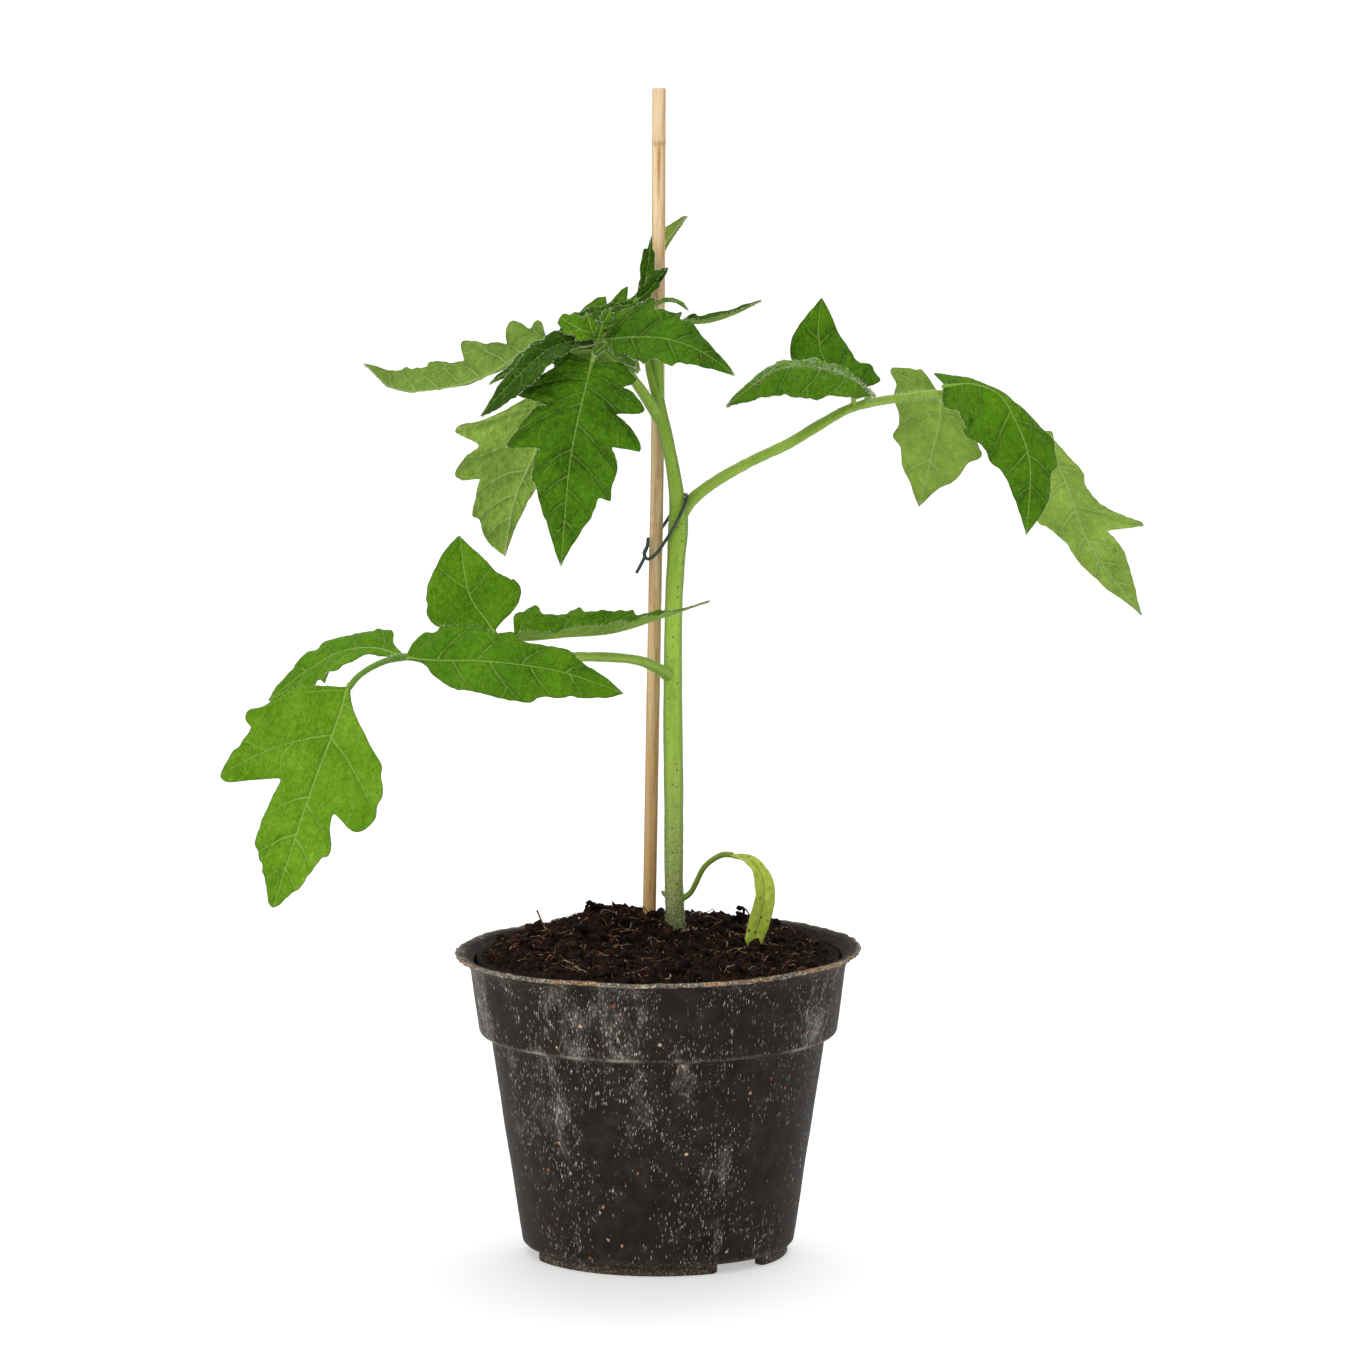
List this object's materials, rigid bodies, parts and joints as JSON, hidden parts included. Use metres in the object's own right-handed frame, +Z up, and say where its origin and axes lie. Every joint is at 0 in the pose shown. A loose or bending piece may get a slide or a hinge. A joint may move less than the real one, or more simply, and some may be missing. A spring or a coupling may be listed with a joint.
{
  "type": "potted tomato plant",
  "caption": "Young tomato plant with cut leaves in a round, lipped nursery pot of compost, tied by a wire to an upright bamboo stake.",
  "frame": {"origin": "on the ground, below the middle of the whole plant's box; the pot's axis is 11.6 mm to the left of it and 14.1 mm in front of it", "axes": "+Z up, along the height of the plant; -Y is the front, seen in the picture; +X is to the right"},
  "size_m": [0.273, 0.179, 0.3446],
  "materials": {
    "pot": "matte",
    "compost": "matte",
    "stem": "satin",
    "bamboo": "satin",
    "wire": "gloss",
    "seed_leaf": "satin",
    "leaf": "satin",
    "leaf_dark": "satin"
  },
  "bodies": {
    "root": {"pot": "pot", "soil": "compost", "stem": "stem", "bamboo_stake": "bamboo", "wire_tie": "wire", "seed_leaf": "seed_leaf", "leaf_lower_left": "leaf", "leaf_right": "leaf", "leaf_upper_left": "leaf_dark", "shoot_tip": "leaf_dark"}
  },
  "joints": []
}
